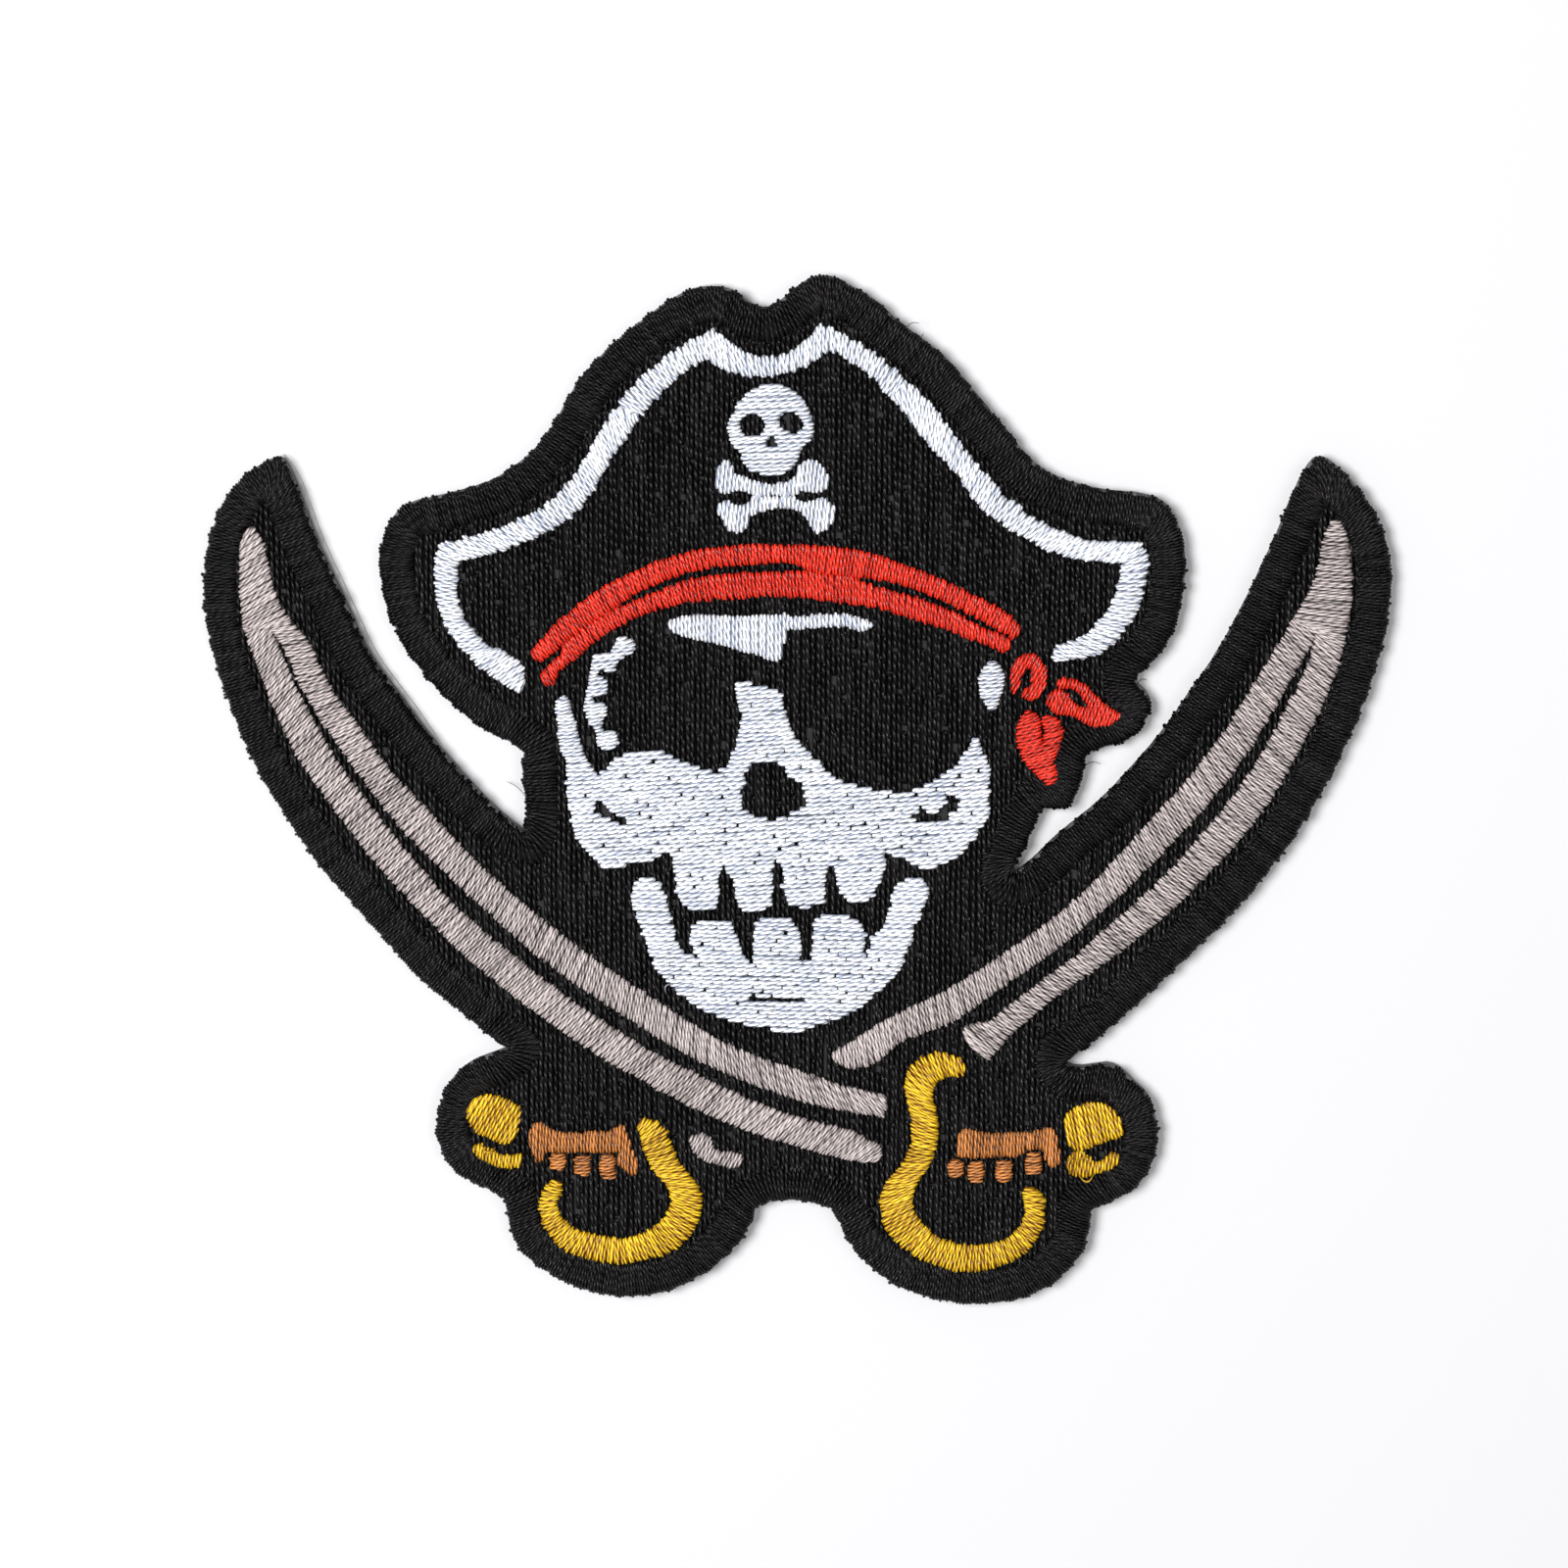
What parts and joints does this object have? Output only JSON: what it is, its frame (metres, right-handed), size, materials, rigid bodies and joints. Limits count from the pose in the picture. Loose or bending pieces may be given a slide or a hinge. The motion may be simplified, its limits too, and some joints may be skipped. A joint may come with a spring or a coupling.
{
  "type": "embroidered pirate patch",
  "caption": "Flat iron-on embroidered patch of a skull in a pirate hat with bandana, eyepatch and crossed cutlasses, cut to shape with a satin-stitched edge.",
  "frame": {"origin": "centre of the patch's bounding box in plan, on the bottom face of the adhesive film", "axes": "+X to the right of the design seen from the stitched side, +Y up the design from the hilts to the hat, +Z out of the stitched face"},
  "size_m": [0.0899, 0.0795, 0.0021],
  "materials": {
    "film": "milky, slightly glossy hot-melt adhesive film",
    "core_felt": "pressed non-woven felt",
    "bobbin_thread": "matt polyester thread",
    "black_twill": "matt twill weave",
    "black_thread": "slightly shiny embroidery thread",
    "black_border_thread": "slightly shiny embroidery thread",
    "white_thread": "shiny embroidery thread",
    "red_thread": "shiny embroidery thread",
    "grey_thread": "shiny embroidery thread",
    "gold_thread": "shiny embroidery thread",
    "brown_thread": "shiny embroidery thread"
  },
  "bodies": {
    "root": {"heat_seal_film": "film", "stiffener": "core_felt", "bobbin_threads": "bobbin_thread", "twill_ground": "black_twill", "black_fill": "black_thread", "border": "black_border_thread", "hat_trim_left": "white_thread", "hat_trim_crown": "white_thread", "hat_trim_right": "white_thread", "emblem_skull": "white_thread", "emblem_bones_upper": "white_thread", "emblem_bones_lower": "white_thread", "bandana_upper": "red_thread", "bandana_lower": "red_thread", "bandana_knot": "red_thread", "bandana_tail_side": "red_thread", "bandana_tail_down": "red_thread", "forehead_triangle": "white_thread", "brow_strip": "white_thread", "socket_edge": "white_thread", "temple_strip": "white_thread", "ear_highlight": "white_thread", "face_maxilla": "white_thread", "face_jaw": "white_thread", "blade_left_inner": "grey_thread", "blade_left_outer": "grey_thread", "blade_right_outer": "grey_thread", "blade_right_inner": "grey_thread", "blade_glint": "grey_thread", "guard_left": "gold_thread", "guard_right": "gold_thread", "pommel_left": "gold_thread", "pommel_left_collar": "gold_thread", "pommel_right": "gold_thread", "pommel_right_collar": "gold_thread", "grip_left": "brown_thread", "grip_left_ridges": "brown_thread", "grip_right": "brown_thread", "grip_right_ridges": "brown_thread"}
  },
  "joints": []
}
